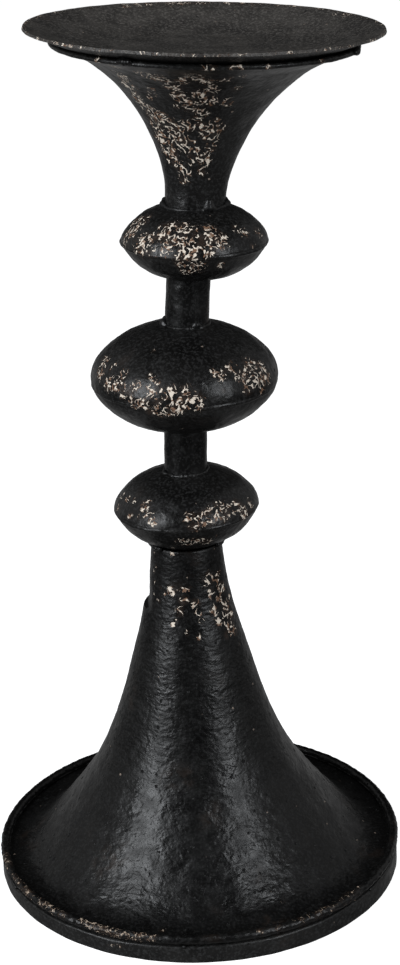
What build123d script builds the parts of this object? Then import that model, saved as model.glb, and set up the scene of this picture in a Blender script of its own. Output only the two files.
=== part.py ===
from build123d import *
import os
from math import sin, cos, tan, radians, hypot, pi

# Candlestick of black painted sheet iron, welded up by hand.
# Frame: millimetres, +Z up, floor at z = 0, origin under the middle of the round base.
# The stem leans and its pieces sit a little off centre, as the hand-made object does:
# each piece has its own axis, given by a centre and a tilt in the XZ plane
# (a positive tilt leans towards +X).

# ---------------------------------------------------------------- driving dimensions
sheet_t = 1.0               # sheet iron thickness
tube_t = 1.2                # wall of the neck tubes

# round base: a spun cone whose flange is a shallow tray with a rolled rim
base_radius = 80.0          # outside of the rolled rim
base_roll_radius = 2.0      # radius of the rolled rim's section
base_roll_z = 9.85          # height of the rolled rim's centre
base_tilt = -0.78           # degrees, about Y
base_pitch = 0.40           # degrees, about X: the front edge is a little higher
tray_drop = 2.4             # underside of the tray floor below the roll's centre
cone_top_z = 137.0          # upper edge of the cone
# outside of the cone, radius and height above the floor
cone_profile = [(13.30, 137.00), (13.72, 133.00), (15.09, 120.88), (18.01, 107.00),
                (21.80, 93.25), (25.55, 79.48), (29.89, 65.77), (35.22, 52.46),
                (41.00, 41.39), (47.77, 31.60), (54.46, 22.60), (60.60, 15.60),
                (66.00, 10.95), (70.50, 8.95), (75.00, 8.45)]

# bottom pan: a shallow pan turned upside down, closing the cone and making the foot
pan_radius = 79.6
pan_shoulder = 0.8
pan_clear = 0.05            # hairline between the pan and the tray floor above it

# knobs: two dished shells each, welded edge to edge at the widest circle
# name: centre x, height of the seam, tilt in degrees, outside of the lower and upper shell
lower_knob = dict(x=-1.27, z=150.80, tilt=-1.73,
    low=[(0, -14.60), (6.0, -14.35), (10.0, -13.85), (13.27, -12.98), (16.0, -11.63),
         (20.04, -9.34), (23.52, -6.30), (25.99, -2.73), (27.76, 0)],
    up=[(27.76, 0), (26.82, 2.82), (24.01, 6.43), (20.61, 9.61), (16.39, 11.91),
        (11.80, 13.70), (6.0, 14.95), (0, 15.35)])
middle_knob = dict(x=-0.59, z=200.44, tilt=0.11,
    low=[(5.0, -17.25), (10.49, -16.80), (14.70, -15.95), (19.57, -14.22), (24.78, -11.55),
         (29.36, -7.87), (33.13, -3.48), (34.78, 0)],
    up=[(34.78, 0), (34.60, 3.65), (32.53, 8.72), (28.21, 13.15), (23.03, 16.73),
        (17.39, 19.31), (11.90, 21.20), (6.0, 22.35), (0, 22.75)])
upper_knob = dict(x=4.43, z=253.30, tilt=0.67,
    low=[(4.5, -13.30), (8.0, -12.95), (11.06, -12.28), (15.27, -11.09), (19.18, -8.94),
         (22.63, -6.06), (25.22, -2.65), (27.15, 0)],
    up=[(27.15, 0), (25.97, 2.73), (23.16, 6.21), (19.73, 9.20), (15.72, 11.42),
        (11.50, 13.10), (6.0, 14.30), (0, 14.70)])
seam_gap = 0.7              # gap between the two shells' edges, filled by the weld
seam_bead_radius = 0.95

# neck tubes: centre x at a height, tilt in degrees
tube_radius = 8.15
lower_neck = dict(x=-1.18, z=164.0, tilt=1.21)
upper_neck = dict(x=0.47, z=218.0, tilt=3.57)
hole_clearance = 0.15       # tube hole in a shell, on the radius
tube_inside = 3.2           # how far a tube's head stands inside the shell

# trumpet: sections all parallel, their centres on a slightly bowed line
trumpet_tilt = 2.15
trumpet_x = 9.76            # centre of the mouth
trumpet_z = 323.86
trumpet_slope = 0.0877
trumpet_bow = 0.0000608
trumpet_profile = [(11.05, 262.0), (11.00, 267.5), (11.12, 272.0), (12.69, 280.0),
                   (15.61, 287.95), (19.38, 295.56), (24.38, 302.84), (29.60, 308.91),
                   (35.94, 314.53), (42.07, 318.77), (48.11, 321.31), (51.40, 322.42),
                   (53.05, 323.15), (53.60, 323.86)]
mouth_radius = 53.82        # centre of the rolled lip's section
lip_radius = 0.98

# candle dish: a shallow saucer
dish_x = 9.77
dish_z = 329.88             # height of the rim's edge
dish_tilt = 1.80
dish_flat_radius = 34.0     # flat seat for the candle
dish_profile = [(34.0, -8.30), (38.0, -8.02), (42.0, -7.28), (46.0, -6.15), (50.0, -4.85),
                (53.8, -3.35), (57.0, -2.15), (60.0, -1.02), (63.24, 0.0)]


# ---------------------------------------------------------------- helpers
def seat(x, z, tilt, pitch=0.0):
    """Place of a piece whose own axis is its local Z."""
    return Location((x, 0, z), (pitch, tilt, 0))


def slope_at(pts, i):
    a, b = pts[max(i - 1, 0)], pts[min(i + 1, len(pts) - 1)]
    d = hypot(b[0] - a[0], b[1] - a[1])
    return (b[0] - a[0]) / d, (b[1] - a[1]) / d


def offset(pts, t):
    """Points moved by t to the left of the direction of travel."""
    out = []
    for i, (r, z) in enumerate(pts):
        tr, tz = slope_at(pts, i)
        out.append((r - tz * t, z + tr * t))
    return out


def fine(pts, n):
    """Points along a smooth curve through pts."""
    e = Spline(*[(r, z) for r, z in pts])
    return [((e @ (i / n)).X, (e @ (i / n)).Y) for i in range(n + 1)]


def on_axis(pts):
    """Snaps end points that lie within a hair of the axis onto it."""
    return [(0.0, z) if abs(r) < 1e-3 else (r, z) for r, z in pts]


def sheet_turned(pts, t):
    """Sheet of thickness t: pts is one surface, the other lies t to its left."""
    a = on_axis(pts)
    b = on_axis(offset(pts, t))
    if a[0][0] == 0.0:
        b[0] = (0.0, b[0][1])
    if a[-1][0] == 0.0:
        b[-1] = (0.0, b[-1][1])
    edges = [Spline(*a), Line(a[-1], b[-1]), Spline(*b[::-1]), Line(b[0], a[0])]
    return revolve(Plane.XZ * make_face(edges), Axis.Z, 360)


def ring(radius, section, z=0.0):
    return Pos(0, 0, z) * Torus(radius, section)


def one(shape):
    """The single solid of a shape, or its largest."""
    s = shape.solids()
    return s[0] if len(s) == 1 else sorted(s, key=lambda q: q.volume)[-1]


# ---------------------------------------------------------------- base
# one sheet: the cone runs down into the tray floor and curls up and over into the rolled rim
base_loc = seat(0, base_roll_z, base_tilt, base_pitch)
zc = base_roll_z
top_side = [(r, z - zc) for r, z in cone_profile]
top_side = fine(top_side, 60)
under_side = offset(top_side, -sheet_t)
under_side[-1] = (top_side[-1][0], top_side[-1][1] - sheet_t)
roll_r = base_radius - base_roll_radius
curl = 295.0                # degrees of curl, starting at the bottom of the roll
curl_end = radians(-90 + curl)
r_out, r_in = base_roll_radius, base_roll_radius - sheet_t
base_edges = [
    Spline(*top_side),
    Line(top_side[-1], (roll_r, -r_in)),
    CenterArc((roll_r, 0), r_in, -90, curl),
    Line((roll_r + r_in * cos(curl_end), r_in * sin(curl_end)),
         (roll_r + r_out * cos(curl_end), r_out * sin(curl_end))),
    CenterArc((roll_r, 0), r_out, -90, curl),
    Line((roll_r, -r_out), under_side[-1]),
    Spline(*under_side),
    Line(under_side[0], top_side[0]),
]
base_cone = base_loc * revolve(Plane.XZ * make_face(base_edges), Axis.Z, 360)

# bottom pan in the same tilted frame, trimmed flat at the floor
low_z = -20.0
pt = -tray_drop - pan_clear
pan_face = Polyline((0, pt), (pan_radius - pan_shoulder, pt),
                    (pan_radius - 0.25, pt - 0.25), (pan_radius, pt - pan_shoulder),
                    (pan_radius, low_z), (pan_radius - sheet_t, low_z),
                    (pan_radius - sheet_t, pt - sheet_t - 0.4),
                    (pan_radius - sheet_t - 0.4, pt - sheet_t), (0, pt - sheet_t),
                    close=True)
bottom_pan = base_loc * revolve(Plane.XZ * make_face(pan_face.edges()), Axis.Z, 360)
bottom_pan = one(bottom_pan & (Pos(0, 0, 50) * Box(300, 300, 100)))


# ---------------------------------------------------------------- knobs
def shells(k):
    loc = seat(k["x"], k["z"], k["tilt"])
    low = fine(k["low"], 40)
    up = fine(k["up"], 40)
    if k["low"][0][0] == 0:
        low[0] = (0.0, low[0][1])
    up[-1] = (0.0, up[-1][1])
    lo = sheet_turned(low, sheet_t)
    hi = sheet_turned(up, sheet_t)
    half = seam_gap / 2
    lo = lo & (Pos(0, 0, -half - 50) * Box(200, 200, 100))
    hi = hi & (Pos(0, 0, half + 50) * Box(200, 200, 100))
    # filled bodies, used to trim whatever stands on the knob
    full_up = revolve(Plane.XZ * make_face([Spline(*up), Line(up[-1], (0, 0)), Line((0, 0), up[0])]), Axis.Z, 360)
    lowc = low if low[0][0] == 0 else [(0.0, low[0][1])] + low
    es = [Spline(*low), Line(low[-1], (0, 0)), Line((0, 0), (0, low[0][1]))]
    if low[0][0] > 0:
        es.append(Line((0, low[0][1]), low[0]))
    full_low = revolve(Plane.XZ * make_face(es), Axis.Z, 360)
    bead = ring(low[-1][0] - seam_bead_radius, seam_bead_radius) - lo - hi
    return loc * one(lo), loc * one(hi), loc * one(bead), loc * full_low, loc * full_up


lk_low, lk_up, lk_bead, lk_full_low, lk_full_up = shells(lower_knob)
mk_low, mk_up, mk_bead, mk_full_low, mk_full_up = shells(middle_knob)
uk_low, uk_up, uk_bead, uk_full_low, uk_full_up = shells(upper_knob)


# ---------------------------------------------------------------- neck tubes
def tube(n, z_from, z_to, grow=0.0):
    loc = seat(n["x"], n["z"], n["tilt"])
    h = z_to - z_from
    return loc * (Pos(0, 0, (z_from + z_to) / 2 - n["z"]) * Cylinder(tube_radius + grow, h))


def neck(n, foot_z, head_z, foot_body):
    outer_c = tube(n, foot_z - 4, head_z)
    inner_c = tube(n, foot_z - 5, head_z + 1, -tube_t)
    return one(outer_c - inner_c - foot_body)


lower_head_z = middle_knob["z"] - 16.95 + sheet_t + tube_inside
upper_head_z = upper_knob["z"] - 12.9 + sheet_t + tube_inside
lower_foot_z = lower_knob["z"] + 14.5
upper_foot_z = middle_knob["z"] + 22.0
lower_neck_tube = neck(lower_neck, lower_foot_z, lower_head_z, lk_full_up)
upper_neck_tube = neck(upper_neck, upper_foot_z, upper_head_z, mk_full_up)
mk_low = one(mk_low - tube(lower_neck, 150, 200, hole_clearance))
uk_low = one(uk_low - tube(upper_neck, 200, 250, hole_clearance))


def axis_x(n, z):
    return n["x"] + (z - n["z"]) * tan(radians(n["tilt"]))


def weld_ring(cx, cz, tilt, radius, section, blobs, cut):
    """A run of weld round a foot: a ring with thicker drops on it, trimmed by its neighbours."""
    loc = seat(cx, cz, tilt)
    w = ring(radius, section)
    for az, rr, dz, dr in blobs:
        w = w + Pos((radius + dr) * cos(radians(az)), (radius + dr) * sin(radians(az)), dz) * Sphere(rr)
    w = loc * w
    for c in cut:
        w = w - c
    return one(w)


lower_neck_foot_weld = weld_ring(
    axis_x(lower_neck, lower_foot_z), lower_foot_z + 0.1, lower_knob["tilt"], tube_radius + 0.15, 1.15,
    [(200, 1.7, 0.1, 0.4), (233, 1.5, 0.1, 0.3), (262, 1.9, 0.5, 0.2), (287, 1.8, 0.5, 0.2),
     (330, 1.5, 0.1, 0.2), (40, 1.6, 0.2, 0.2), (100, 1.7, 0.2, 0.2), (150, 1.5, 0.1, 0.2)],
    [lower_neck_tube, lk_full_up, tube(lower_neck, 150, 180, -0.3)])
upper_neck_foot_weld = weld_ring(
    axis_x(upper_neck, upper_foot_z), upper_foot_z + 0.1, middle_knob["tilt"], tube_radius + 0.15, 1.15,
    [(190, 2.2, 0.5, 0.3), (238, 1.6, 0.1, 0.2), (277, 1.6, 0.1, 0.2), (296, 1.7, 1.4, 0.0),
     (310, 1.5, 0.0, 0.4), (350, 1.4, 0.1, 0.2), (60, 1.7, 0.2, 0.2), (120, 1.6, 0.1, 0.2)],
    [upper_neck_tube, mk_full_up, tube(upper_neck, 205, 240, -0.3)])


def head_weld(n, k, s, shell, tube_solid):
    z = k["z"] + s + sheet_t
    return weld_ring(axis_x(n, z), z + 0.2, k["tilt"], tube_radius + 0.3, 1.6,
                     [(20, 2.0, 0.3, 0.2), (140, 2.0, 0.3, 0.2), (250, 2.0, 0.3, 0.2)],
                     [tube_solid, shell, tube(n, z - 20, z + 20, 0.0) - tube(n, z + 30, z + 31, 0.0),
                      Pos(0, 0, z - 0.55 - 50) * Box(200, 200, 100)])


lower_neck_head_weld = head_weld(lower_neck, middle_knob, -16.95, mk_low, lower_neck_tube)
upper_neck_head_weld = head_weld(upper_neck, upper_knob, -12.75, uk_low, upper_neck_tube)


# ---------------------------------------------------------------- trumpet
def trumpet_x_at(z):
    u = z - trumpet_z
    return trumpet_x + trumpet_slope * u + trumpet_bow * u * u


def trumpet_body(pts):
    secs = []
    for r, z in pts:
        secs.append(seat(trumpet_x_at(z), z, trumpet_tilt) * Circle(r))
    return loft(secs)


tp = fine(trumpet_profile[:-2], 16) + trumpet_profile[-2:]
inner_pts = offset(tp, sheet_t)
inner_pts[0] = (tp[0][0] - sheet_t, tp[0][1] - 0.5)
inner_pts = inner_pts[:-2] + [(52.35, 324.0), (52.9, 324.6)]
mouth = seat(trumpet_x, trumpet_z, trumpet_tilt)
lip = mouth * ring(mouth_radius, lip_radius)
trumpet = trumpet_body(tp) - trumpet_body(inner_pts)
trumpet = one(trumpet + lip)
trumpet = one(trumpet - uk_full_up)

foot_z = upper_knob["z"] + 13.2
trumpet_foot_weld = weld_ring(
    trumpet_x_at(foot_z), foot_z + 0.25, upper_knob["tilt"], 11.0 + 0.2, 1.3,
    [(188, 2.1, 0.4, 0.4), (281, 2.0, 0.9, 0.3), (297, 2.0, 2.1, 0.1),
     (318, 1.6, 0.3, 0.3), (352, 2.2, 0.5, 0.3), (50, 1.9, 0.4, 0.2), (110, 1.8, 0.4, 0.2)],
    [trumpet, uk_full_up, Pos(trumpet_x_at(foot_z), 0, foot_z) * Cylinder(10.2, 30)])

# ---------------------------------------------------------------- candle dish
dish_loc = seat(dish_x, dish_z, dish_tilt)
inside = [(e.X, e.Y) for e in [Spline(*dish_profile, tangents=[(1, 0), (3, 1)]) @ (i / 30) for i in range(31)]]
outside = offset(inside, -sheet_t)
outside[0] = (inside[0][0], inside[0][1] - sheet_t)
depth = inside[0][1]
dish_edges = [Line((0, depth), inside[0]), Spline(*inside), Line(inside[-1], outside[-1]),
              Spline(*outside), Line(outside[0], (0, depth - sheet_t)),
              Line((0, depth - sheet_t), (0, depth))]
candle_dish = dish_loc * revolve(Plane.XZ * make_face(dish_edges), Axis.Z, 360)

# four tacks hold the dish on the trumpet's lip
tacks = []
for az, size in ((-119.7, 1.80), (-20.0, 1.75), (72.0, 1.70), (161.0, 1.65)):
    t = mouth * (Pos((mouth_radius + 1.15) * cos(radians(az)), (mouth_radius + 1.15) * sin(radians(az)), 0.45)
                 * Sphere(size))
    tacks.append(one(t - trumpet - candle_dish))
dish_tack_welds = Compound(children=tacks)

# ---------------------------------------------------------------- cone head tacks and pan tacks
base_cone = one(base_cone - lk_full_low)
tacks = []
for az, span in ((-153.0, 34.0), (-14.0, 34.0), (90.0, 40.0)):
    start = az - span / 2
    sec = Plane.XZ * (Pos(13.75, cone_top_z - zc + 0.35) * Circle(1.25))
    t = Rot(0, 0, start) * revolve(sec, Axis.Z, span)
    for a in (start, start + span):
        t = t + Pos(13.75 * cos(radians(a)), 13.75 * sin(radians(a)), cone_top_z - zc + 0.35) * Sphere(1.25)
    t = base_loc * t - base_cone - lk_full_low
    tacks.append(one(t))
cone_head_tack_welds = Compound(children=tacks)

tacks = []
for i in range(6):
    az = 25 + 60 * i
    t = Pos(79.05 * cos(radians(az)), 79.05 * sin(radians(az)), -2.35) * Sphere(0.75)
    t = base_loc * t - base_cone - bottom_pan
    tacks.append(one(t))
bottom_pan_tack_welds = Compound(children=tacks)

# ---------------------------------------------------------------- written pieces
pieces = {
    "bottom_pan": bottom_pan,
    "bottom_pan_tack_welds": bottom_pan_tack_welds,
    "base_cone": base_cone,
    "cone_head_tack_welds": cone_head_tack_welds,
    "lower_knob_bottom_shell": lk_low,
    "lower_knob_top_shell": lk_up,
    "lower_knob_seam_weld": lk_bead,
    "lower_neck_tube": lower_neck_tube,
    "lower_neck_foot_weld": lower_neck_foot_weld,
    "lower_neck_head_weld": lower_neck_head_weld,
    "middle_knob_bottom_shell": mk_low,
    "middle_knob_top_shell": mk_up,
    "middle_knob_seam_weld": mk_bead,
    "upper_neck_tube": upper_neck_tube,
    "upper_neck_foot_weld": upper_neck_foot_weld,
    "upper_neck_head_weld": upper_neck_head_weld,
    "upper_knob_bottom_shell": uk_low,
    "upper_knob_top_shell": uk_up,
    "upper_knob_seam_weld": uk_bead,
    "trumpet": trumpet,
    "trumpet_foot_weld": trumpet_foot_weld,
    "dish_tack_welds": dish_tack_welds,
    "candle_dish": candle_dish,
}
os.makedirs("parts", exist_ok=True)
for name, shape in pieces.items():
    export_step(shape, "parts/" + name + ".step")
    print(name, len(shape.solids()), round(shape.volume, 1))
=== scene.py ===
import math

import bpy
import numpy as np
from mathutils import Matrix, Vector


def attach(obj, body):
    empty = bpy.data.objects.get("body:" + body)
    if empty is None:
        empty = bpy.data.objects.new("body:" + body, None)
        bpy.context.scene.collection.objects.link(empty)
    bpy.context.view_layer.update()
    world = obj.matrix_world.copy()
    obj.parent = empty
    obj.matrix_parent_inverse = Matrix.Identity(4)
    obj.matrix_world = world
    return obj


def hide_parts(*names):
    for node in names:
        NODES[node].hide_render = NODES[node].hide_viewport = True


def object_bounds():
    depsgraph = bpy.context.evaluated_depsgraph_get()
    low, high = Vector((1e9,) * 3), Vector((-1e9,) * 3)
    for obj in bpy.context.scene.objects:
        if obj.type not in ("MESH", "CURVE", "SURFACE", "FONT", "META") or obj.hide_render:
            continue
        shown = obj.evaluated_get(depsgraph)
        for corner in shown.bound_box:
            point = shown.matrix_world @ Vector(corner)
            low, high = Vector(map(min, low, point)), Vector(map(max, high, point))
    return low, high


# Candlestick of black painted sheet iron, welded by hand, with the paint rubbed
# through to a pale copper undercoat in patches.
# Lengths in this script are millimetres until a mesh is written, then metres.

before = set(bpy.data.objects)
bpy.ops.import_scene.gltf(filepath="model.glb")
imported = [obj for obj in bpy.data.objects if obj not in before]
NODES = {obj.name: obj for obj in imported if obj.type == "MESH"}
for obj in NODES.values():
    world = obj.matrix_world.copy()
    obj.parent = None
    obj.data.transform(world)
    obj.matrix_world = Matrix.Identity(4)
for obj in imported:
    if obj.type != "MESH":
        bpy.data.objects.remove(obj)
cad_lo, cad_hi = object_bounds()
BOX_LO = np.array(cad_lo) * 1000.0
BOX_HI = np.array(cad_hi) * 1000.0
TAU = 2 * math.pi


# ------------------------------------------------------------------ seeded noise
GRAD = np.array([(1, 1, 0), (-1, 1, 0), (1, -1, 0), (-1, -1, 0), (1, 0, 1), (-1, 0, 1),
                 (1, 0, -1), (-1, 0, -1), (0, 1, 1), (0, -1, 1), (0, 1, -1), (0, -1, -1)], float)


def lattice(ix, iy, iz, seed):
    h = (ix * 73856093) ^ (iy * 19349663) ^ (iz * 83492791) ^ (seed * 2654435761)
    h = h & 0xFFFFFFFF
    h = ((h ^ (h >> 15)) * 2246822519) & 0xFFFFFFFF
    h = ((h ^ (h >> 13)) * 3266489917) & 0xFFFFFFFF
    return h ^ (h >> 16)


def noise(p, size, seed=0):
    """Gradient noise, about -1 to 1, with features of that size in millimetres."""
    q = np.asarray(p, float) / size
    i = np.floor(q).astype(np.int64)
    f = q - i
    u = f * f * f * (f * (f * 6 - 15) + 10)
    out = np.zeros(q.shape[:-1])
    for dx in (0, 1):
        wx = u[..., 0] if dx else 1 - u[..., 0]
        for dy in (0, 1):
            wy = u[..., 1] if dy else 1 - u[..., 1]
            for dz in (0, 1):
                wz = u[..., 2] if dz else 1 - u[..., 2]
                g = GRAD[lattice(i[..., 0] + dx, i[..., 1] + dy, i[..., 2] + dz, seed) % 12]
                out += wx * wy * wz * ((f - (dx, dy, dz)) * g).sum(-1)
    return out * 1.4


def fractal(p, size, seed=0, octaves=3, gain=0.5):
    out, amp, total = 0.0, 1.0, 0.0
    for k in range(octaves):
        out = out + amp * noise(p, size / 2 ** k, seed + 17 * k)
        total += amp
        amp *= gain
    return out / total


def step(a, b, x):
    t = np.clip((np.asarray(x, float) - a) / (b - a), 0, 1)
    return t * t * (3 - 2 * t)


def near_azimuth(a, centre, half):
    """1 at an azimuth in degrees, fading to 0 at half degrees away."""
    d = np.abs((np.degrees(a) - centre + 180) % 360 - 180)
    return 1 - step(0.25 * half, half, d)


# ------------------------------------------------------------------ curves and places
def smooth(pts, gap):
    """Points about gap apart along a natural cubic curve through pts."""
    p = np.array(pts, float)
    d = np.r_[0, np.cumsum(np.hypot(*np.diff(p, axis=0).T))]
    m = len(d)
    h = np.diff(d)
    a = np.zeros((m, m))
    b = np.zeros((m, 2))
    a[0, 0] = a[-1, -1] = 1
    for i in range(1, m - 1):
        a[i, i - 1], a[i, i], a[i, i + 1] = h[i - 1], 2 * (h[i - 1] + h[i]), h[i]
        b[i] = 6 * ((p[i + 1] - p[i]) / h[i] - (p[i] - p[i - 1]) / h[i - 1])
    c = np.linalg.solve(a, b)
    t = np.linspace(0, d[-1], 2400)
    k = np.clip(np.searchsorted(d, t, side="right") - 1, 0, m - 2)
    hk = h[k][:, None]
    u = (t - d[k])[:, None]
    v = hk - u
    q = ((c[k] * v ** 3 + c[k + 1] * u ** 3) / (6 * hk)
         + (p[k] / hk - c[k] * hk / 6) * v + (p[k + 1] / hk - c[k + 1] * hk / 6) * u)
    return even(q, gap)


def even(q, gap):
    """Points about gap apart along a polyline, its ends kept."""
    q = np.asarray(q, float)
    s = np.r_[0, np.cumsum(np.hypot(*np.diff(q, axis=0).T))]
    n = max(2, int(round(s[-1] / gap)))
    t = np.linspace(0, s[-1], n + 1)
    return np.stack([np.interp(t, s, q[:, 0]), np.interp(t, s, q[:, 1])], -1)


def tangents(q):
    t = np.gradient(q, axis=0)
    return t / np.hypot(t[:, 0], t[:, 1])[:, None]


def seat(x, z, tilt, pitch=0.0):
    a, b = math.radians(pitch), math.radians(tilt)
    rx = np.array([[1, 0, 0], [0, math.cos(a), -math.sin(a)], [0, math.sin(a), math.cos(a)]])
    ry = np.array([[math.cos(b), 0, math.sin(b)], [0, 1, 0], [-math.sin(b), 0, math.cos(b)]])
    return rx @ ry, np.array([x, 0.0, z])


class Place:
    """Maps radius, height and azimuth of a turned piece to points and directions."""

    def __init__(self, rot, at):
        self.rot, self.at = rot, at

    def point(self, r, z, a):
        return np.stack([r * np.cos(a), r * np.sin(a), z + 0 * a], -1) @ self.rot.T + self.at

    def way(self, nr, nz, a):
        return np.stack([nr * np.cos(a), nr * np.sin(a), nz + 0 * a], -1) @ self.rot.T


class TrumpetPlace(Place):
    """Parallel tilted sections whose centres lie on a slightly bowed line."""

    def point(self, r, z, a):
        u = z - 323.86
        c = np.stack([9.76 + 0.0877 * u + 0.0000608 * u * u + 0 * a, 0 * a, z + 0 * a], -1)
        return np.stack([r * np.cos(a), r * np.sin(a), 0 * a], -1) @ self.rot.T + c


# ------------------------------------------------------------------ wear
def soft_union(p, spots):
    """How worn each point is, from a list of (x, y, z, radius, strength)."""
    keep = np.ones(len(p))
    for x, y, z, r, s in spots:
        d = np.sqrt(((p - (x, y, z)) ** 2).sum(-1)) / r
        keep *= 1 - s * (1 - step(0.45, 1.3, d))
    return 1 - keep


# ------------------------------------------------------------------ meshes
def write_mesh(name, rings, closed, flip_check=True, values=None):
    """A surface of rings of points: a ring of one point is a pole."""
    count = [len(r) for r in rings]
    start = np.r_[0, np.cumsum(count)]
    pts = np.concatenate(rings)
    quads, tris = [], []
    pairs = list(zip(range(len(rings) - 1), range(1, len(rings))))
    if closed:
        pairs.append((len(rings) - 1, 0))
    for i, j in pairs:
        a, b = count[i], count[j]
        if a == 1 and b == 1:
            continue
        n = max(a, b)
        k = np.arange(n)
        k2 = (k + 1) % n
        if 1 < a < b:      # from a coarse ring to one twice as fine
            k = np.arange(a)
            c0, c1, f0, f1, f2 = start[i] + k, start[i] + (k + 1) % a, start[j] + 2 * k, start[j] + 2 * k + 1, start[j] + (2 * k + 2) % b
            tris += [np.stack([c0, f1, f0], -1), np.stack([c0, c1, f1], -1), np.stack([c1, f2, f1], -1)]
        elif a > b > 1:
            k = np.arange(b)
            c0, c1, f0, f1, f2 = start[j] + k, start[j] + (k + 1) % b, start[i] + 2 * k, start[i] + 2 * k + 1, start[i] + (2 * k + 2) % a
            tris += [np.stack([c0, f0, f1], -1), np.stack([c0, f1, c1], -1), np.stack([c1, f1, f2], -1)]
        elif a == 1:
            tris.append(np.stack([start[i] + 0 * k, start[j] + k2, start[j] + k], -1))
        elif b == 1:
            tris.append(np.stack([start[i] + k, start[i] + k2, start[j] + 0 * k], -1))
        else:
            quads.append(np.stack([start[i] + k, start[i] + k2, start[j] + k2, start[j] + k], -1))
    quads = np.concatenate(quads)
    tris = np.concatenate(tris) if tris else np.zeros((0, 3), int)
    vol = 0.0
    for f in (quads[:, [0, 1, 2]], quads[:, [0, 2, 3]], tris):
        if len(f):
            a, b, c = pts[f[:, 0]], pts[f[:, 1]], pts[f[:, 2]]
            vol += (a * np.cross(b, c)).sum() / 6
    if vol < 0:
        quads, tris = quads[:, ::-1], tris[:, ::-1]
    return raw_mesh(name, pts, quads, tris, values)


def raw_mesh(name, pts, quads, tris, values=None):
    pts = np.clip(pts, BOX_LO + 0.002, BOX_HI - 0.002) / 1000.0
    me = bpy.data.meshes.new(name)
    me.vertices.add(len(pts))
    me.vertices.foreach_set("co", pts.astype(np.float32).ravel())
    nl = 4 * len(quads) + 3 * len(tris)
    me.loops.add(nl)
    me.loops.foreach_set("vertex_index", np.r_[quads.ravel(), tris.ravel()].astype(np.int32))
    me.polygons.add(len(quads) + len(tris))
    me.polygons.foreach_set("loop_start", np.r_[np.arange(len(quads)) * 4, 4 * len(quads) + np.arange(len(tris)) * 3].astype(np.int32))
    me.update(calc_edges=True)
    me.validate()
    me.polygons.foreach_set("use_smooth", np.ones(len(me.polygons), bool))
    me.set_sharp_from_angle(angle=math.radians(42))
    for key, v in (values or {}).items():
        kind = "FLOAT" if np.ndim(v) == 1 else "FLOAT_VECTOR"
        at = me.attributes.new(key, kind, "POINT")
        at.data.foreach_set("value" if kind == "FLOAT" else "vector", np.asarray(v, np.float32).ravel())
    ob = bpy.data.objects.new(name, me)
    bpy.context.scene.collection.objects.link(ob)
    return ob


def turned_sheet(name, prof, thick, place, n_az, disp, left, spots, inner=4, bulge=0.25, centre=None):
    """A turned sheet. prof is its outer side; left says on which side of travel outside lies.
    disp(points, azimuth, along) moves the sheet along its normal, both sides alike."""
    a = np.linspace(0, TAU, n_az, endpoint=False)
    t = tangents(prof)
    nrm = np.stack([-t[:, 1], t[:, 0]], -1) if left else np.stack([t[:, 1], -t[:, 0]], -1)
    along = np.r_[0, np.cumsum(np.hypot(*np.diff(prof, axis=0).T))]
    pole0, pole1 = prof[0, 0] < 1e-6, prof[-1, 0] < 1e-6
    r, z = prof[:, 0][:, None], prof[:, 1][:, None]
    A = a[None, :] + 0 * r
    P = place.point(r, z + 0 * A, A)
    if centre is not None:
        P = P + centre(r + 0 * A)
    N = place.way(nrm[:, 0][:, None], nrm[:, 1][:, None] + 0 * A, A)
    D = disp(P, A, along[:, None] + 0 * A)
    wear = soft_union(P.reshape(-1, 3), spots).reshape(A.shape)
    outer = P + N * D[..., None]
    within = P + N * (D - thick)[..., None]
    rows = [*range(0, len(prof) - 1, inner), len(prof) - 1]
    rings, turn, worn = [], [], []

    def add(pts, s, w):
        rings.append(pts)
        n = len(pts)
        aa = a if n > 1 else a[:1]
        turn.append(np.stack([np.full(n, s / 1000.0), np.cos(aa), np.sin(aa)], -1))
        worn.append(w if n > 1 else np.array([float(np.mean(w))]))

    def cap(i, sign):
        o, w = outer[i], within[i]
        way = place.way(sign * t[i, 0], sign * t[i, 1] + 0 * a, a)
        order = (0.1, 0.28, 0.5, 0.72, 0.9)
        for u in (order if sign > 0 else order[::-1]):
            add(o + (w - o) * u + way * bulge * math.sqrt(1 - (2 * u - 1) ** 2), along[i], wear[i])

    for i in range(len(prof)):
        if (i == 0 and pole0) or (i == len(prof) - 1 and pole1):
            add(outer[i].mean(0)[None], along[i], wear[i])
        else:
            add(outer[i], along[i], wear[i])
    if not pole1:
        cap(len(prof) - 1, 1)
    for i in rows[::-1]:
        if (i == 0 and pole0) or (i == len(prof) - 1 and pole1):
            add(within[i].mean(0)[None], along[i], 0 * wear[i])
        else:
            add(within[i], along[i], 0.6 * wear[i])
    if not pole0:
        cap(0, -1)
    return write_mesh(name, rings, not pole0, values={
        "wear": np.concatenate(worn), "turn": np.concatenate(turn)})


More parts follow.
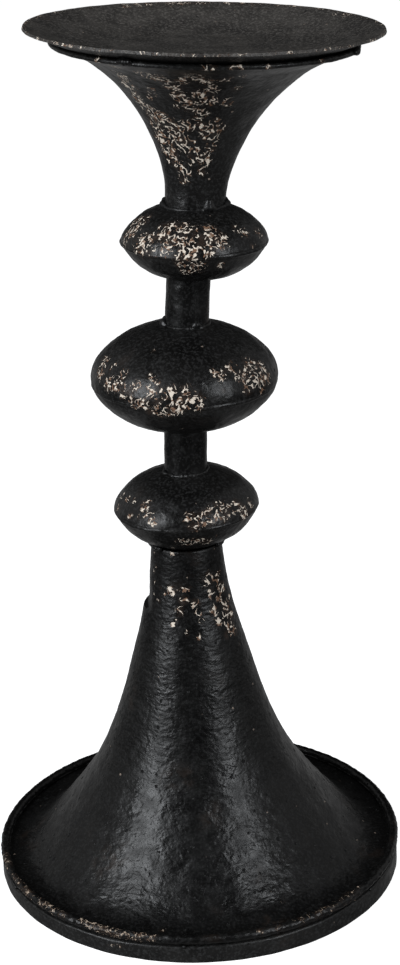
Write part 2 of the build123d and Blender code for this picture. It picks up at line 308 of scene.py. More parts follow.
def turned_loop(name, loop, place, n_az, disp, spots, coarse=None):
    """A turned solid ring whose section is a closed outline, anticlockwise in (r, z).
    coarse marks the rings of the outline that have half as many points."""
    a = np.linspace(0, TAU, n_az, endpoint=False)
    nxt, prv = np.roll(loop, -1, 0), np.roll(loop, 1, 0)
    t = nxt - prv
    t = t / np.hypot(t[:, 0], t[:, 1])[:, None]
    nrm = np.stack([t[:, 1], -t[:, 0]], -1)
    along = np.r_[0, np.cumsum(np.hypot(*np.diff(loop, axis=0).T))]
    A = a[None, :] + 0 * loop[:, :1]
    P = place.point(loop[:, :1], loop[:, 1:] + 0 * A, A)
    N = place.way(nrm[:, :1], nrm[:, 1:] + 0 * A, A)
    D = disp(P, A, along[:, None] + 0 * A, loop)
    Q = P + N * D[..., None]
    wear = soft_union(P.reshape(-1, 3), spots).reshape(A.shape)
    turn = np.stack([along[:, None] / 1000.0 + 0 * A, np.cos(A), np.sin(A)], -1)
    pick = [slice(None, None, 2 if coarse is not None and coarse[i] else 1) for i in range(len(loop))]
    return write_mesh(name, [Q[i][p] for i, p in enumerate(pick)], True, values={
        "wear": np.concatenate([wear[i][p] for i, p in enumerate(pick)]),
        "turn": np.concatenate([turn[i][p] for i, p in enumerate(pick)])})


# ------------------------------------------------------------------ places on the object
BASE = Place(*seat(0, 9.85, -0.78, 0.40))
LOWER = dict(x=-1.27, z=150.80, tilt=-1.73, r=27.76,
    low=[(0, -14.60), (6.0, -14.35), (10.0, -13.85), (13.27, -12.98), (16.0, -11.63),
         (20.04, -9.34), (23.52, -6.30), (25.99, -2.73), (27.76, 0)],
    up=[(27.76, 0), (26.82, 2.82), (24.01, 6.43), (20.61, 9.61), (16.39, 11.91),
        (11.80, 13.70), (6.0, 14.95), (0, 15.35)])
MIDDLE = dict(x=-0.59, z=200.44, tilt=0.11, r=34.78,
    low=[(5.0, -17.25), (10.49, -16.80), (14.70, -15.95), (19.57, -14.22), (24.78, -11.55),
         (29.36, -7.87), (33.13, -3.48), (34.78, 0)],
    up=[(34.78, 0), (34.60, 3.65), (32.53, 8.72), (28.21, 13.15), (23.03, 16.73),
        (17.39, 19.31), (11.90, 21.20), (6.0, 22.35), (0, 22.75)])
UPPER = dict(x=4.43, z=253.30, tilt=0.67, r=27.15,
    low=[(4.5, -13.30), (8.0, -12.95), (11.06, -12.28), (15.27, -11.09), (19.18, -8.94),
         (22.63, -6.06), (25.22, -2.65), (27.15, 0)],
    up=[(27.15, 0), (25.97, 2.73), (23.16, 6.21), (19.73, 9.20), (15.72, 11.42),
        (11.50, 13.10), (6.0, 14.30), (0, 14.70)])
LOWER_NECK = dict(x=-1.18, z=164.0, tilt=1.21)
UPPER_NECK = dict(x=0.47, z=218.0, tilt=3.57)
TUBE_R, TUBE_T, SHEET = 8.15, 1.2, 1.0


# ------------------------------------------------------------------ worn patches
# (x, y, z, radius, strength): where hands and rubbing took the black paint off
def spots(rows, s=1.0):
    return [(x, y, z, r, s) for x, y, z, r in rows]


wear_trumpet = spots([
    (-21.1, -36.1, 322.2, 3), (-19.2, -25.4, 317.2, 4), (-16.6, -20.4, 312.6, 4), (-14.2, -16.7, 308.1, 3.6),
    (-11.6, -16.0, 304.8, 3.6), (-9.2, -16.1, 302.3, 4.5), (-8.0, -13.4, 298.0, 4), (-6.1, -11.6, 292.7, 4.5),
    (-3.8, -11.2, 287.6, 4), (-3.0, -10.7, 285.0, 2.5), (-11.7, -36.7, 319.7, 3.5), (-8.0, -37.0, 319.0, 4),
    (-4.6, -35.8, 316.9, 3), (-1.3, -33.9, 314.5, 3), (1.1, -38.1, 317.1, 3), (5.4, -42.4, 319.2, 4),
    (9.4, -39.4, 317.1, 3), (11.4, -35.3, 314.0, 3), (0.1, -30.2, 310.9, 3.5), (4.1, -28.0, 307.7, 3),
    (7.7, -32.4, 311.6, 3.2), (10.7, -29.3, 308.6, 3), (8.0, -25.2, 304.0, 2.6), (16.5, -27.7, 307.8, 3),
    (-5.8, -19.1, 302.1, 3.5), (-1.7, -18.8, 298.5, 4), (-1.0, -16.7, 294.0, 5), (2.7, -21.0, 299.1, 3),
    (6.5, -21.6, 299.1, 2.5), (9.6, -19.2, 295.4, 3), (12.5, -22.1, 300.4, 2), (14.3, -19.6, 297.5, 2.6),
    (2.4, -16.6, 291.6, 4), (5.2, -16.1, 289.4, 2.5), (10.8, -16.2, 290.2, 2.2), (8.7, -14.6, 286.0, 2.6),
    (7.8, -13.0, 281.3, 2.2), (-1.0, -11.6, 283.3, 2), (1.8, -12.6, 282.3, 3), (1.6, -11.4, 278.8, 2.6)])
wear_trumpet += spots([(10.2, -54.8, 323.6, 3.0), (19.0, -53.9, 323.2, 3.2), (30.0, -50.9, 322.9, 1.6),
                       (-26.0, -41.0, 324.6, 1.8), (48.0, -39.0, 322.0, 1.6)])
wear_upper = spots([
    (-16.0, -6.3, 261.3, 6), (-19.7, -8.4, 256.9, 4), (-18.2, -7.2, 259.1, 4), (-14.4, -17.4, 256.6, 4.8),
    (-10.2, -18.2, 259.4, 2.4), (-5.6, -18.6, 261.4, 4.5), (-4.4, -23.6, 257.3, 4.2), (-1.0, -21.0, 260.8, 6),
    (1.2, -26.0, 255.6, 5), (4.2, -22.8, 259.8, 5), (6.8, -26.2, 255.5, 4), (9.4, -20.2, 261.6, 3.4),
    (11.4, -23.2, 258.2, 4.6), (14.1, -21.8, 258.4, 3), (0.8, -25.4, 251.2, 4.2), (4.2, -24.8, 249.9, 4.4),
    (1.0, -22.6, 247.5, 2), (13.7, -22.8, 249.7, 2.2)])
wear_upper += spots([(-10.8, -21.9, 254.9, 2.5), (-7.3, -24.0, 254.6, 2.5), (19.1, -15.9, 260.9, 2.2),
                     (22.0, -15.0, 259.4, 2.6), (27.6, -8.9, 257.4, 3), (24.6, -17.2, 254.9, 1.0)], 0.7)
wear_middle = spots([
    (-30.0, -9.6, 211.0, 3.6), (-30.9, -13.8, 207.8, 3), (-27.8, -20.5, 206.2, 3.5), (-22.5, -22.7, 210.4, 2.6),
    (-24.6, -23.8, 206.6, 3.2), (-22.1, -26.8, 204.9, 3.4), (-18.0, -28.5, 207.7, 2.6), (-19.0, -29.6, 202.2, 3.4),
    (-16.2, -31.1, 202.4, 3.2), (-13.0, -31.5, 206.7, 2.6), (-10.9, -30.6, 209.5, 2.0), (-8.1, -33.8, 204.1, 4.6),
    (-9.3, -33.3, 199.3, 3.2), (-6.2, -34.3, 200.5, 3.8), (-12.8, -31.9, 198.8, 2.3), (-5.6, -33.7, 206.1, 3.8),
    (-0.1, -33.9, 206.5, 3.2), (1.3, -34.5, 204.1, 4.2), (-3.2, -34.7, 201.7, 3.8), (4.2, -34.5, 202.4, 3.2),
    (12.0, -28.2, 211.1, 3.2), (16.2, -24.3, 212.4, 2.8), (19.6, -25.2, 209.4, 3.6), (22.9, -18.6, 212.0, 3.2),
    (27.0, -17.0, 209.3, 3.8), (24.3, -21.8, 208.2, 4.2), (29.2, -16.9, 205.4, 3), (22.0, -25.6, 205.8, 3.6),
    (26.7, -21.1, 204.2, 3.6)])
wear_middle += spots([(13.0, -31.3, 205.7, 1.2), (-11.7, -18.8, 217.8, 1.0), (-12.4, -28.4, 211.3, 1.6),
                      (-26.7, -16.3, 211.3, 2.2), (9.6, -27.6, 212.6, 1.8)], 0.75)
wear_lower = spots([
    (-25.6, -2.8, 156.2, 1.8), (-23.5, -8.8, 156.9, 2.0), (-22.3, -16.4, 153.3, 1.6), (-19.8, -18.8, 153.9, 1.6),
    (-17.0, -17.7, 157.2, 2.2), (-15.5, -20.7, 155.6, 2.5), (-13.8, -23.8, 153.2, 2.4), (-15.4, -17.4, 158.5, 2.0),
    (-0.1, -25.6, 155.4, 2.8), (2.0, -26.9, 153.1, 3.0), (4.0, -24.6, 156.1, 2.5), (6.5, -25.1, 154.7, 3.2),
    (8.8, -22.8, 156.5, 3.4), (11.4, -20.5, 157.4, 3.2), (11.7, -23.1, 154.5, 3), (14.8, -19.5, 156.2, 3),
    (17.5, -16.6, 156.5, 2.6), (19.6, -16.8, 154.1, 3), (22.9, -10.7, 154.9, 2.5), (21.1, -16.4, 151.6, 2.0),
    (-3.7, -24.6, 146.0, 2.4), (-1.1, -23.8, 144.8, 2.8), (1.1, -24.7, 146.4, 2.0), (3.7, -23.6, 145.4, 2.4),
    (6.3, -22.1, 144.5, 2.4), (10.1, -22.4, 146.9, 1.3), (-20.4, -12.5, 158.1, 1.3), (-27.0, -6.8, 153.3, 1.5)])
wear_cone = spots([
    (6.1, -12.8, 127.6, 1.2), (5.4, -13.7, 124.1, 2.2), (7.6, -12.0, 125.6, 2), (10.1, -9.3, 126.3, 2),
    (9.4, -10.7, 123.6, 2), (10.9, -9.6, 120.8, 2.4), (7.1, -13.5, 119.6, 2.0), (12.1, -7.9, 119.4, 2),
    (10.1, -11.6, 116.4, 2), (13.6, -6.9, 114.9, 2), (12.8, -9.5, 112.4, 3), (8.2, -14.3, 113.0, 2.2),
    (9.0, -14.3, 110.7, 1.8), (9.9, -14.5, 108.0, 1.8), (12.1, -11.8, 109.4, 2.5), (14.4, -8.2, 109.1, 2.4),
    (12.9, -11.9, 106.5, 2.5), (15.1, -9.6, 104.6, 2), (13.2, -13.2, 102.6, 2.4), (16.0, -9.4, 102.2, 2),
    (17.4, -10.1, 96.7, 0.9), (-8.0, -14.3, 121.5, 2.1), (-10.8, -12.8, 120.1, 1), (-3.4, -15.5, 122.5, 1.7),
    (-1.0, -15.6, 122.5, 1.3), (-3.4, -16.1, 118.5, 2.2), (1.2, -16.3, 116.8, 2.1), (-5.2, -16.6, 114.1, 2.0),
    (-6.5, -17.1, 110.1, 1), (-7.8, -17.0, 108.8, 1.2), (2.6, -16.8, 112.7, 1.2), (3.2, -17.3, 110.2, 1.2),
    (0.8, -17.0, 113.8, 1), (-2.3, -18.8, 106.0, 1), (1.9, -19.1, 104.1, 1.2)])
wear_cone += spots([(-13.5, -8.3, 129.3, 0.8), (-14.3, -7.4, 127.0, 0.9), (-14.3, -8.1, 123.1, 0.9),
                    (-12.1, -11.4, 121.6, 0.8), (-14.7, -8.9, 118.0, 1.0), (-12.7, -11.9, 116.4, 0.8),
                    (-7.2, -13.1, 136.1, 1.1), (8.8, -9.1, 136.6, 0.8)], 0.9)
wear_cone += spots([(-78, -15.8, 11.4, 4), (-76.5, -22, 11.2, 4), (-73.3, -31.6, 11, 4.5), (-69.7, -38.3, 11, 4.5),
                    (-65.9, -44.0, 11, 4.5), (-60.5, -51.3, 11, 4), (-57.3, -54.6, 11, 4), (-53.7, -58.5, 11, 3.4),
                    (-44.0, -65.3, 11.4, 4), (-39.4, -68.3, 11.4, 5), (-34.5, -70.7, 11.4, 5), (-29.6, -73.0, 11.4, 5),
                    (-24.8, -74.7, 11.4, 5), (-20.0, -76.2, 11.4, 4), (-14.9, -69.2, 8.2, 1.2), (21.2, -76.6, 11.2, 1.6),
                    (28.2, -74.4, 11.2, 1.6), (39.1, -69.0, 11, 1.8), (57.5, -50.5, 11, 4), (53.0, -55.3, 11, 4),
                    (47.5, -60.5, 11, 4), (42.0, -64.4, 11, 4), (36.0, -68.0, 11, 4), (30.8, -57.3, 11.6, 0.8),
                    (26.8, -55.3, 14.7, 0.8), (59.7, 36.3, 10.2, 0.9)], 0.62)
wear_dish = spots([(-1.3, 61.2, 329.9, 3), (2.5, 61.9, 329.8, 3), (6.2, 62.5, 329.8, 3), (10.0, 62.4, 329.6, 3),
                   (19.8, 61.5, 329.3, 2), (25.0, 60.4, 329.1, 2), (29.1, 58.8, 328.8, 2), (-18.9, 53.8, 330.1, 2.5),
                   (-14.0, 56.3, 330.0, 2), (-10.3, 58.2, 330.0, 2), (58.9, 36.5, 327.7, 2), (61.2, 32.5, 327.5, 2),
                   (-40.2, -38.9, 331.1, 2.5), (-37.4, -42.3, 330.8, 2.5), (-35.0, -44.9, 330.6, 2),
                   (-10.9, -59.8, 330.3, 1.2), (-6.8, -61.1, 330.3, 1.2), (7.7, -63.2, 329.8, 1.2)], 0.8)
wear_pan = spots([(-33.6, -72.1, 3.8, 1.5), (-30.8, -73.4, 4.4, 1.2)], 0.8)


def behind(seed, place, z0, z1, r_at, count, size):
    """The same kind of wear on the side that faces away, in seeded places."""
    g = np.random.default_rng(seed)
    out = []
    for _ in range(count):
        a = math.radians(g.uniform(15, 165))
        z = g.uniform(z0, z1)
        for _ in range(g.integers(2, 5)):
            b, zz = a + g.normal(0, 0.16), z + g.normal(0, 1.6)
            p = place.point(np.array(r_at(zz)), np.array(zz), np.array(b))
            out.append((*p.tolist(), g.uniform(0.7, 1.3) * size, 0.9))
    return out


def knob_radius(k):
    pts = np.array(k["low"] + k["up"][1:])
    return lambda z: float(np.interp(z, pts[:, 1], pts[:, 0]))


cone_pts = [(13.30, 137.00), (13.72, 133.00), (15.09, 120.88), (18.01, 107.00),
            (21.80, 93.25), (25.55, 79.48), (29.89, 65.77), (35.22, 52.46),
            (41.00, 41.39), (47.77, 31.60), (54.46, 22.60), (60.60, 15.60),
            (66.00, 10.95), (70.50, 8.95), (75.00, 8.45)]
trumpet_pts = [(11.05, 262.0), (11.00, 267.5), (11.12, 272.0), (12.69, 280.0),
               (15.61, 287.95), (19.38, 295.56), (24.38, 302.84), (29.60, 308.91),
               (35.94, 314.53), (42.07, 318.77), (48.11, 321.31), (51.40, 322.42),
               (53.05, 323.15)]
TRUMPET = TrumpetPlace(*seat(0, 0, 2.15))
knob_place = {k["z"]: Place(*seat(k["x"], k["z"], k["tilt"])) for k in (LOWER, MIDDLE, UPPER)}
wear_lower += behind(3, knob_place[LOWER["z"]], -7, 9, knob_radius(LOWER), 8, 2.3)
wear_middle += behind(4, knob_place[MIDDLE["z"]], -7, 12, knob_radius(MIDDLE), 9, 2.9)
wear_upper += behind(5, knob_place[UPPER["z"]], -6, 9, knob_radius(UPPER), 9, 2.6)
tr = np.array(trumpet_pts)
wear_trumpet += behind(6, TRUMPET, 280, 318, lambda z: float(np.interp(z, tr[:, 1], tr[:, 0])), 12, 2.8)
g = np.random.default_rng(61)
for _ in range(40):
    z_, a_ = g.uniform(284, 319), math.radians(g.uniform(-130, -70))
    p_ = TRUMPET.point(np.array([float(np.interp(z_, tr[:, 1], tr[:, 0]))]), np.array([z_]), np.array([a_]))[0]
    wear_trumpet += spots([(*p_, g.uniform(1.5, 2.7))], 0.78)
co = np.array(cone_pts)[::-1]
wear_cone += behind(7, Place(np.eye(3), np.zeros(3)), 98, 128, lambda z: float(np.interp(z, co[:, 1], co[:, 0])), 6, 1.8)


# ------------------------------------------------------------------ how the sheet is beaten
def beaten(p, size, depth, seed):
    """Soft hammer marks, both ways from the true surface."""
    return depth * (0.75 * noise(p, size, seed) + 0.4 * noise(p, size * 0.45, seed + 5))


def knob_disp(seed):
    def f(p, a, s):
        return beaten(p, 6.5, 0.16, seed) + 0.05 * noise(p, 1.7, seed + 9)
    return f


# ------------------------------------------------------------------ base
zc = 9.85
cone_top = smooth([(r, z - zc) for r, z in cone_pts], 0.85)
flat = even([cone_top[-1], (78.0, -1.0)], 0.9)[1:]
inner_curl = [(78 + math.cos(t), math.sin(t)) for t in np.radians(np.linspace(-90, 205, 15))][1:]
outer_curl = [(78 + 2 * math.cos(t), 2 * math.sin(t)) for t in np.radians(np.linspace(205, -90, 50))]
under = cone_top[::-1]
ut = tangents(cone_top)
under = cone_top - np.stack([-ut[:, 1], ut[:, 0]], -1) * SHEET
under[-1] = (75.0, cone_top[-1, 1] - SHEET)
lip_mid = [(12.62, cone_top[0, 1] + 0.30), (12.95, cone_top[0, 1] + 0.26), (13.2, cone_top[0, 1] + 0.12)]
cone_loop = np.array([*cone_top, *flat, *inner_curl, *outer_curl, *under[::-1][::3], *lip_mid])
n_top = len(cone_top)


def cone_disp(p, a, s, loop):
    r, z = loop[:, :1] + 0 * a, loop[:, 1:] + zc + 0 * a
    # the sheet's two sides move together, away from or towards the axis
    i = np.arange(len(loop))[:, None] + 0 * a
    n_curl0 = n_top + len(flat) + len(inner_curl)
    n_curl1 = n_curl0 + len(outer_curl)
    below = i >= n_curl1
    side = np.where(below, -1.0, 1.0)
    low = step(60, 25, z)
    d = (0.10 + 0.10 * low) * noise(p, 9.0, 21) + (0.06 + 0.06 * low) * noise(p * (1, 1, 1.5), 4.6, 22) + 0.045 * noise(p * (1, 1, 1.6), 2.3, 23)
    # turning ripples of the spun sheet
    d = d + 0.010 * np.sin(z * 1.35 + 3.0 * noise(p, 30, 24)) * step(134, 120, z) * step(14, 30, z)
    # a torn-looking crease high on the left: dented in above, standing proud below
    w = near_azimuth(a, 176, 40)
    d = d - 1.05 * w * step(124, 113.5, z) * step(110.9, 111.7, z)
    d = d + 0.40 * w * step(99, 109.5, z) * step(111.7, 110.9, z)
    d = d * step(137.6, 131.0, z) * step(77.5, 72.0, r)
    # rolled rim: lumpy, wrinkled across like rope where the paint ran
    deg = np.degrees(a)
    rope = 0.25 + 0.75 * np.clip(near_azimuth(a, -150, 42) + near_azimuth(a, -118, 30) + near_azimuth(a, -45, 34), 0, 1)
    phi = np.arctan2(loop[:, 1:], loop[:, :1] - 78.0) + 0 * a
    wob = noise(p, 9.0, 31)
    wave = 0.5 + 0.5 * np.sin(118 * a + 0.9 * phi + 2.2 * wob)
    lump = 0.5 + 0.5 * noise(p, 3.4, 32)
    rim = -(0.30 * rope * wave * (0.55 + 0.45 * noise(p, 14, 33)) + 0.20 * lump + (0.12 + 0.36 * rope) * (0.5 + 0.5 * noise(p, 1.9, 34)))
    rim = rim - 0.45 * near_azimuth(a, -158, 4.5)
    on_curl = (i >= n_curl0 + 2) & (i < n_curl1 - 4)
    d = np.where(on_curl, rim, np.where((i >= n_top + len(flat)) & (i < n_curl1), 0.0, d * side))
    return d


cone_coarse = np.array([q[0] < 72.5 for q in cone_loop])
base_cone = turned_loop("base_cone_skin", cone_loop[::-1], BASE, 800,
                        lambda p, a, s, loop: cone_disp(p[::-1], a[::-1], s, loop[::-1])[::-1], wear_cone, cone_coarse[::-1])
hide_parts("base_cone")

# the pan under the tray, its wall trimmed flat where it stands
pt = -2.45
n_az = 360
az = np.linspace(0, TAU, n_az, endpoint=False)
floor_z = (0.012 - BASE.at[2] - BASE.rot[2, 0] * 79.2 * np.cos(az) - BASE.rot[2, 1] * 79.2 * np.sin(az)) / BASE.rot[2, 2]
pan_rings, pan_turn = [], []


def pan_ring(r, z, s, sheet_side=1.0, move=1.0):
    r = np.full(n_az, float(r)) if np.ndim(r) == 0 else r
    p = BASE.point(r, z + 0 * az, az)
    d = move * (0.16 * noise(p, 11, 41) + 0.07 * noise(p, 3.5, 42) - 0.16)
    out = BASE.way(1.0 + 0 * az, 0 * az, az)
    pan_rings.append(p + out * d[:, None] if move else p)
    pan_turn.append(np.stack([np.full(n_az, s / 1000.0), np.cos(az), np.sin(az)], -1))


def pan_pole(z):
    pan_rings.append(BASE.point(np.array([0.0]), np.array([float(z)]), np.array([0.0])))
    pan_turn.append(np.array([[0.0, 1.0, 0.0]]))


pan_pole(pt)
for r in np.linspace(6, 78.0, 14):
    pan_ring(r, pt, r, move=0)
for t in np.linspace(90, 0, 7):
    pan_ring(78.75 + 0.8 * math.cos(math.radians(t)), pt - 0.8 + 0.8 * math.sin(math.radians(t)), 79, move=math.cos(math.radians(t)))
for f in np.linspace(0.08, 0.93, 12):
    pan_ring(79.55, (pt - 0.8) * (1 - f) + floor_z * f, 79 + 6 * f)
for t in np.linspace(15, 165, 6):
    c = math.cos(math.radians(t))
    pan_ring(79.05 + 0.5 * c, floor_z + 0.35 * (1 - math.sin(math.radians(t))), 86)
for f in np.linspace(0.1, 0.9, 5):
    pan_ring(78.55, floor_z * (1 - f) + (pt - 1.5) * f, 87 + 5 * f)
for t in np.linspace(0, 90, 5):
    pan_ring(78.05 + 0.5 * math.cos(math.radians(t)), pt - 1.5 + 0.5 * math.sin(math.radians(t)), 93, move=math.cos(math.radians(t)))
for r in np.linspace(76, 4, 25):
    p = BASE.point(np.full(n_az, r), pt - 1.0 + 0 * az, az)
    pan_rings.append(p + BASE.way(0 * az, 1 + 0 * az, az) * (0.22 * noise(p, 13, 43) - 0.1)[:, None])
    pan_turn.append(np.stack([np.full(n_az, (170 - r) / 1000.0), np.cos(az), np.sin(az)], -1))
pan_pole(pt - 1.0)
allp = np.concatenate(pan_rings)
bottom_pan = write_mesh("bottom_pan_skin", pan_rings, False, values={
    "wear": soft_union(allp, wear_pan), "turn": np.concatenate(pan_turn)})
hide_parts("bottom_pan")


# ------------------------------------------------------------------ knobs
def knob(k, base_name, node_base, spots_, seed, n_az, hole=None, proud=()):
    place = knob_place[k["z"]]
    out = []
    up = smooth(k["up"], 0.62)
    low = smooth(k["low"], 0.62)
    cut = 0.33
    up = np.array([(np.interp(cut, up[:, 1], up[:, 0]), cut), *up[up[:, 1] > cut + 0.15]])
    up[-1] = (0.0, up[-1, 1])
    low = np.array([*low[low[:, 1] < -cut - 0.15], (np.interp(-cut, low[:, 1], low[:, 0]), -cut)])
    if k["low"][0][0] == 0:
        low[0] = (0.0, low[0, 1])
    centre = None
    if hole is not None:
        # the hole in the lower shell is centred on the tube that passes through it
        first = np.interp(8.3, low[:, 0], low[:, 1])
        low = np.array([(8.3, first), *low[low[:, 0] > 8.7]])
        z_hole = k["z"] + first
        dx = (hole["x"] + (z_hole - hole["z"]) * math.tan(math.radians(hole["tilt"]))
              - k["x"] - first * math.sin(math.radians(k["tilt"])))

        def centre(r):
            sh = dx * (1 - step(8.3, 15.0, r))
            return np.stack([sh, 0 * sh, 0 * sh], -1)
    beat = knob_disp(seed)

    def disp(p, a, s):
        # the seam's corner is rounded off where the weld was dressed flush
        h = (p - place.at) @ place.rot[:, 2]
        keep = np.clip(sum((near_azimuth(a, c, w) * v for c, w, v in proud), 0 * a), 0, 1)
        return beat(p, a, s) - (0.30 - 0.22 * keep) * np.exp(-(h / 1.5) ** 2)
    top = turned_sheet(base_name + "_top_skin", up, SHEET, place, n_az, disp, False, spots_, bulge=0.05)
    bot = turned_sheet(base_name + "_bottom_skin", low, SHEET, place, n_az, disp, False, spots_, bulge=0.05, centre=centre)
    # seam weld: dressed down nearly flush, left standing a little in places
    rs = 0.95
    loop = np.array([(k["r"] - rs + rs * math.cos(t), rs * math.sin(t)) for t in np.linspace(0, TAU, 28, endpoint=False)])

    def bead(p, a, s, lp):
        keep = sum((near_azimuth(a, c, h) * v for c, h, v in proud), 0 * a)
        outer = step(-0.2, 0.8, (lp[:, :1] - (k["r"] - rs)) / rs) + 0 * a
        d = disp(p, a, s) * outer
        d = d + outer * (0.02 + 0.05 * noise(p, 3.0, seed + 2) + np.clip(keep, 0, 1) * (0.22 + 0.10 * noise(p, 2.2, seed + 3)))
        return d

    weld = turned_loop(base_name + "_seam_skin", loop, place, n_az, bead, spots_)
    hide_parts(node_base + "_top_shell")
    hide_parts(node_base + "_bottom_shell")
    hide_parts(node_base + "_seam_weld")
    return top, bot, weld


lower = knob(LOWER, "lower_knob", "lower_knob", wear_lower, 51, 380, None,
             [(-125, 38, 1.0), (150, 40, 0.7), (40, 50, 0.5)])
middle = knob(MIDDLE, "middle_knob", "middle_knob", wear_middle, 61, 420, LOWER_NECK,
              [(-62, 34, 1.0), (100, 60, 0.6), (-170, 30, 0.4)])
upper = knob(UPPER, "upper_knob", "upper_knob", wear_upper, 71, 380, UPPER_NECK,
             [(-48, 40, 1.0), (160, 45, 0.7), (70, 40, 0.5)])


# ------------------------------------------------------------------ neck tubes
def neck(n, name, z0, z1, seed):
    place = Place(*seat(n["x"], n["z"], n["tilt"]))
    b0, b1 = z0 - n["z"], z1 - n["z"]
    out = even([(TUBE_R, b0), (TUBE_R, b1)], 0.5)
    inn = even([(TUBE_R - TUBE_T, b1), (TUBE_R - TUBE_T, b0)], 2.0)
    loop = np.array([*out, *inn])

    def f(p, a, s, lp):
        outer = (lp[:, :1] > TUBE_R - 0.3) + 0 * a
        return outer * (0.10 * noise(p, 7, seed) + 0.05 * noise(p, 2.4, seed + 1) - 0.06)
    return turned_loop(name, loop, place, 220, f, [])


lower_neck = neck(LOWER_NECK, "lower_neck_skin", 164.7, 187.6, 81)
upper_neck = neck(UPPER_NECK, "upper_neck_skin", 221.7, 244.5, 83)
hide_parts("lower_neck_tube")
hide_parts("upper_neck_tube")


# ------------------------------------------------------------------ trumpet and dish
tprof = smooth(trumpet_pts, 0.7)
tprof = tprof[tprof[:, 1] > 266.0]
tt = tangents(tprof)
tin = tprof - np.stack([tt[:, 1], -tt[:, 0]], -1) * SHEET
lip = [(53.82 + 0.98 * math.cos(t), 323.86 + 0.98 * math.sin(t))
       for t in np.radians(np.linspace(225, 510, 34))]
loop = np.array([*tprof[:-1], *lip, *tin[:-3][::-1][::3], (tin[0, 0], tin[0, 1] - 0.3)])
n_out = len(tprof) - 1
n_lip = n_out + len(lip)


def trumpet_disp(p, a, s, lp):
    i = np.arange(len(lp))[:, None] + 0 * a
    d = 0.15 * noise(p, 8.5, 91) + 0.07 * noise(p, 3.4, 92) + 0.03 * noise(p, 1.5, 93)
    d = d * step(266, 272, lp[:, 1:]) * step(322.9, 318, lp[:, 1:])
    rim = 0.10 * noise(p, 6.5, 94) + 0.06 * noise(p, 2.2, 95) - 0.04
    return np.where((i > n_out + 1) & (i < n_lip - 2), rim, np.where(i >= n_lip, -d, d))


trumpet = turned_loop("trumpet_skin", loop, TRUMPET, 460, trumpet_disp, wear_trumpet)
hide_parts("trumpet")

dish_pts = [(34.0, -8.30), (38.0, -8.02), (42.0, -7.28), (46.0, -6.15), (50.0, -4.85),
            (53.8, -3.35), (57.0, -2.15), (60.0, -1.02), (63.24, 0.0)]
wall = smooth(dish_pts, 0.9)
dish_prof = np.array([(0.0, -8.30), *even([(1.5, -8.30), (33.2, -8.30)], 1.4), *wall])
DISH = Place(*seat(9.77, 329.88, 1.80))


def dish_disp(p, a, s):
    rise = step(34, 63, s)
    return (0.10 * noise(p, 10, 101) + 0.05 * noise(p, 3.2, 102)) * (0.35 + 0.65 * rise) - 0.10 * rise * (1 + noise(p, 30, 103))


dish = turned_sheet("candle_dish_skin", dish_prof, SHEET, DISH, 440, dish_disp, True, wear_dish, inner=2, bulge=0.0)
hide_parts("candle_dish")
n = len(dish.data.vertices)
pts = np.zeros(n * 3, np.float32)
dish.data.vertices.foreach_get("co", pts)
pts = pts.reshape(-1, 3).astype(float) * 1000.0
loc = (pts - DISH.at) @ DISH.rot
worn = np.zeros(n, np.float32)
dish.data.attributes["wear"].data.foreach_get("value", worn)
edge = step(61.2, 62.4, np.hypot(loc[:, 0], loc[:, 1])) * (0.42 + 0.5 * noise(pts, 7.0, 105))
dish.data.attributes["wear"].data.foreach_set("value", np.maximum(worn, edge).astype(np.float32))


# ------------------------------------------------------------------ weld beads
def blob_mesh(name, balls, voxel, rounds):
    """Overlapping balls fused into one smooth lump."""
    import bmesh
    bm = bmesh.new()
    for x, y, z, r in balls:
        bmesh.ops.create_icosphere(bm, subdivisions=2, radius=r / 1000.0,
                                   matrix=Matrix.Translation((x / 1000.0, y / 1000.0, z / 1000.0)))
    me = bpy.data.meshes.new(name)
    bm.to_mesh(me)
    bm.free()
    ob = bpy.data.objects.new(name, me)
    bpy.context.scene.collection.objects.link(ob)
    m = ob.modifiers.new("fuse", "REMESH")
    m.mode = "VOXEL"
    m.voxel_size = voxel / 1000.0
    m.use_smooth_shade = True
    if rounds:
        q = ob.modifiers.new("soften", "SMOOTH")
        q.factor = 0.5
        q.iterations = rounds
    dg = bpy.context.evaluated_depsgraph_get()
    new = bpy.data.meshes.new_from_object(ob.evaluated_get(dg))
    ob.modifiers.clear()
    ob.data = new
    n = len(new.vertices)
    co = np.zeros(n * 3, np.float32)
    new.vertices.foreach_get("co", co)
    co = co.reshape(-1, 3) * 1000.0
    nr = np.zeros(n * 3, np.float32)
    new.vertices.foreach_get("normal", nr)
    co = co + nr.reshape(-1, 3) * (0.07 * noise(co, 2.6, 111))[:, None]
    co = np.clip(co, BOX_LO + 0.002, BOX_HI - 0.002)
    new.vertices.foreach_set("co", (co / 1000.0).astype(np.float32).ravel())
    new.update()
    for key in ("wear",):
        new.attributes.new(key, "FLOAT", "POINT")
    return ob


def weld_run(name, rot, at, radius, section, drops, voxel=0.22, rounds=9, seed=0):
    g = np.random.default_rng(seed)
    balls = []
    for i in range(160):
        t = TAU * i / 160
        rr = 0.66 * section * (1 + 0.12 * math.sin(3 * t + seed) + 0.08 * math.sin(7 * t + 2 * seed))
        p = rot @ np.array([(radius - 0.1) * math.cos(t), (radius - 0.1) * math.sin(t), -0.15 + 0.1 * math.sin(4 * t + seed)]) + at
        balls.append((*p, rr))
    for az_, r, dz, dr in drops:
        # each drop runs out to both sides, so that it sits on the seam like a fillet
        for k in range(-4, 5):
            t = math.radians(az_ + 2.6 * k)
            rr = r * (1.16 - 0.13 * abs(k))
            p = rot @ np.array([(radius + dr - 0.3) * math.cos(t), (radius + dr - 0.3) * math.sin(t),
                                (dz - 0.25) * (1 - 0.2 * abs(k)) - 0.2]) + at
            balls.append((*p, rr))
    return blob_mesh(name, balls, voxel, rounds)


